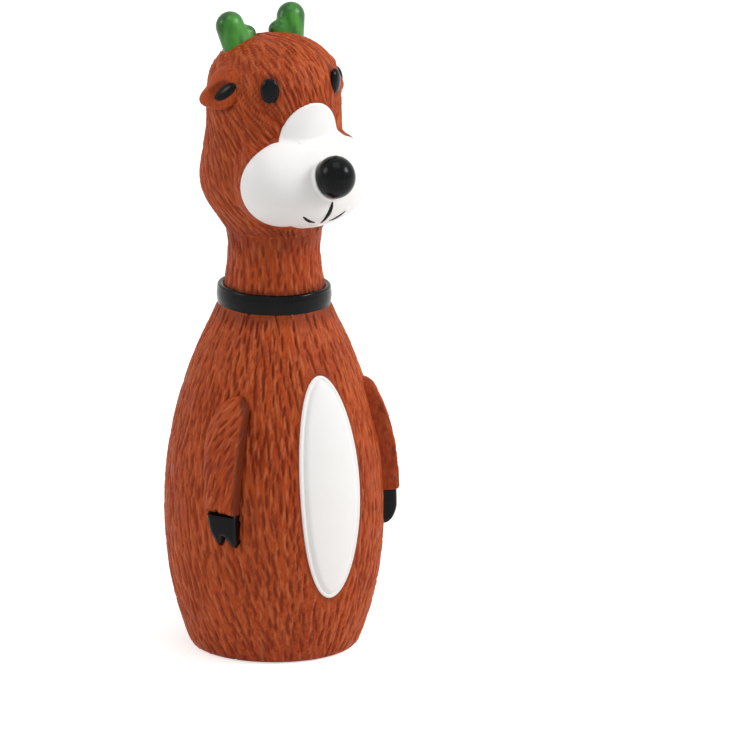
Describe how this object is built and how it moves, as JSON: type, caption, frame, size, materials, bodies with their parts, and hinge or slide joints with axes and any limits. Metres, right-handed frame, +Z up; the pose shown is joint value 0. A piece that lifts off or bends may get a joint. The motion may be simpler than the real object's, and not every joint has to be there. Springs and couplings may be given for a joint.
{
  "type": "squeaky dog toy",
  "caption": "Skittle-shaped soft latex deer with a moulded collar, arms and antlers, a belly that presses in, and a reed squeaker in its base.",
  "frame": {"origin": "on the floor, under the middle of the toy's box", "axes": "+Z up along the body, the toy faces -Y, +X is the toy's own left"},
  "size_m": [0.0488, 0.054, 0.145],
  "materials": {
    "brown_latex": "semi-matte painted latex with carved fur",
    "white_latex": "satin painted latex",
    "black_gloss": "glossy painted latex",
    "green_gloss": "glossy painted latex",
    "squeaker_plastic": "moulded",
    "reed_film": "thin film",
    "polyester_fibre": "loose fibre"
  },
  "bodies": {
    "body": {"body_shell": "brown_latex", "collar": "black_gloss", "neck_skin": "brown_latex", "arm_left": "brown_latex", "arm_right": "brown_latex", "hoof_left": "black_gloss", "hoof_right": "black_gloss", "squeaker_housing": "squeaker_plastic", "squeaker_cap": "squeaker_plastic", "squeaker_reed_seat": "squeaker_plastic", "squeaker_reed_clamp": "squeaker_plastic", "body_stuffing": "polyester_fibre"},
    "belly": {"belly_patch": "white_latex"},
    "head": {"head_shell": "brown_latex", "muzzle": "white_latex", "nose": "black_gloss", "eye_left": "black_gloss", "eye_right": "black_gloss", "ear_left": "brown_latex", "ear_right": "brown_latex", "ear_inner_left": "black_gloss", "ear_inner_right": "black_gloss", "antler_left": "green_gloss", "antler_right": "green_gloss", "philtrum_line": "black_gloss", "smile_left": "black_gloss", "smile_right": "black_gloss", "head_stuffing": "polyester_fibre"},
    "reed": {"squeaker_reed": "reed_film"}
  },
  "joints": [
    {"name": "belly_squeeze", "type": "slide", "parent": "body", "child": "belly", "axis": [0, 1, 0], "range_m": [0, 0.007], "stiffness_N_per_m": 1500, "deforming": ["body_stuffing"]},
    {"name": "neck_nod", "type": "hinge", "parent": "body", "child": "head", "pos_m": [0, 0.00269, 0.08942], "axis": [1, 0, 0], "range_deg": [-15, 15], "stiffness_Nm_per_rad": 0.15, "deforming": ["neck_skin"]},
    {"name": "reed_vibration", "type": "hinge", "parent": "body", "child": "reed", "pos_m": [0, 0.00269, 0.0114], "axis": [1, 0, 0], "range_deg": [-4, 4], "stiffness_Nm_per_rad": 0.002}
  ]
}
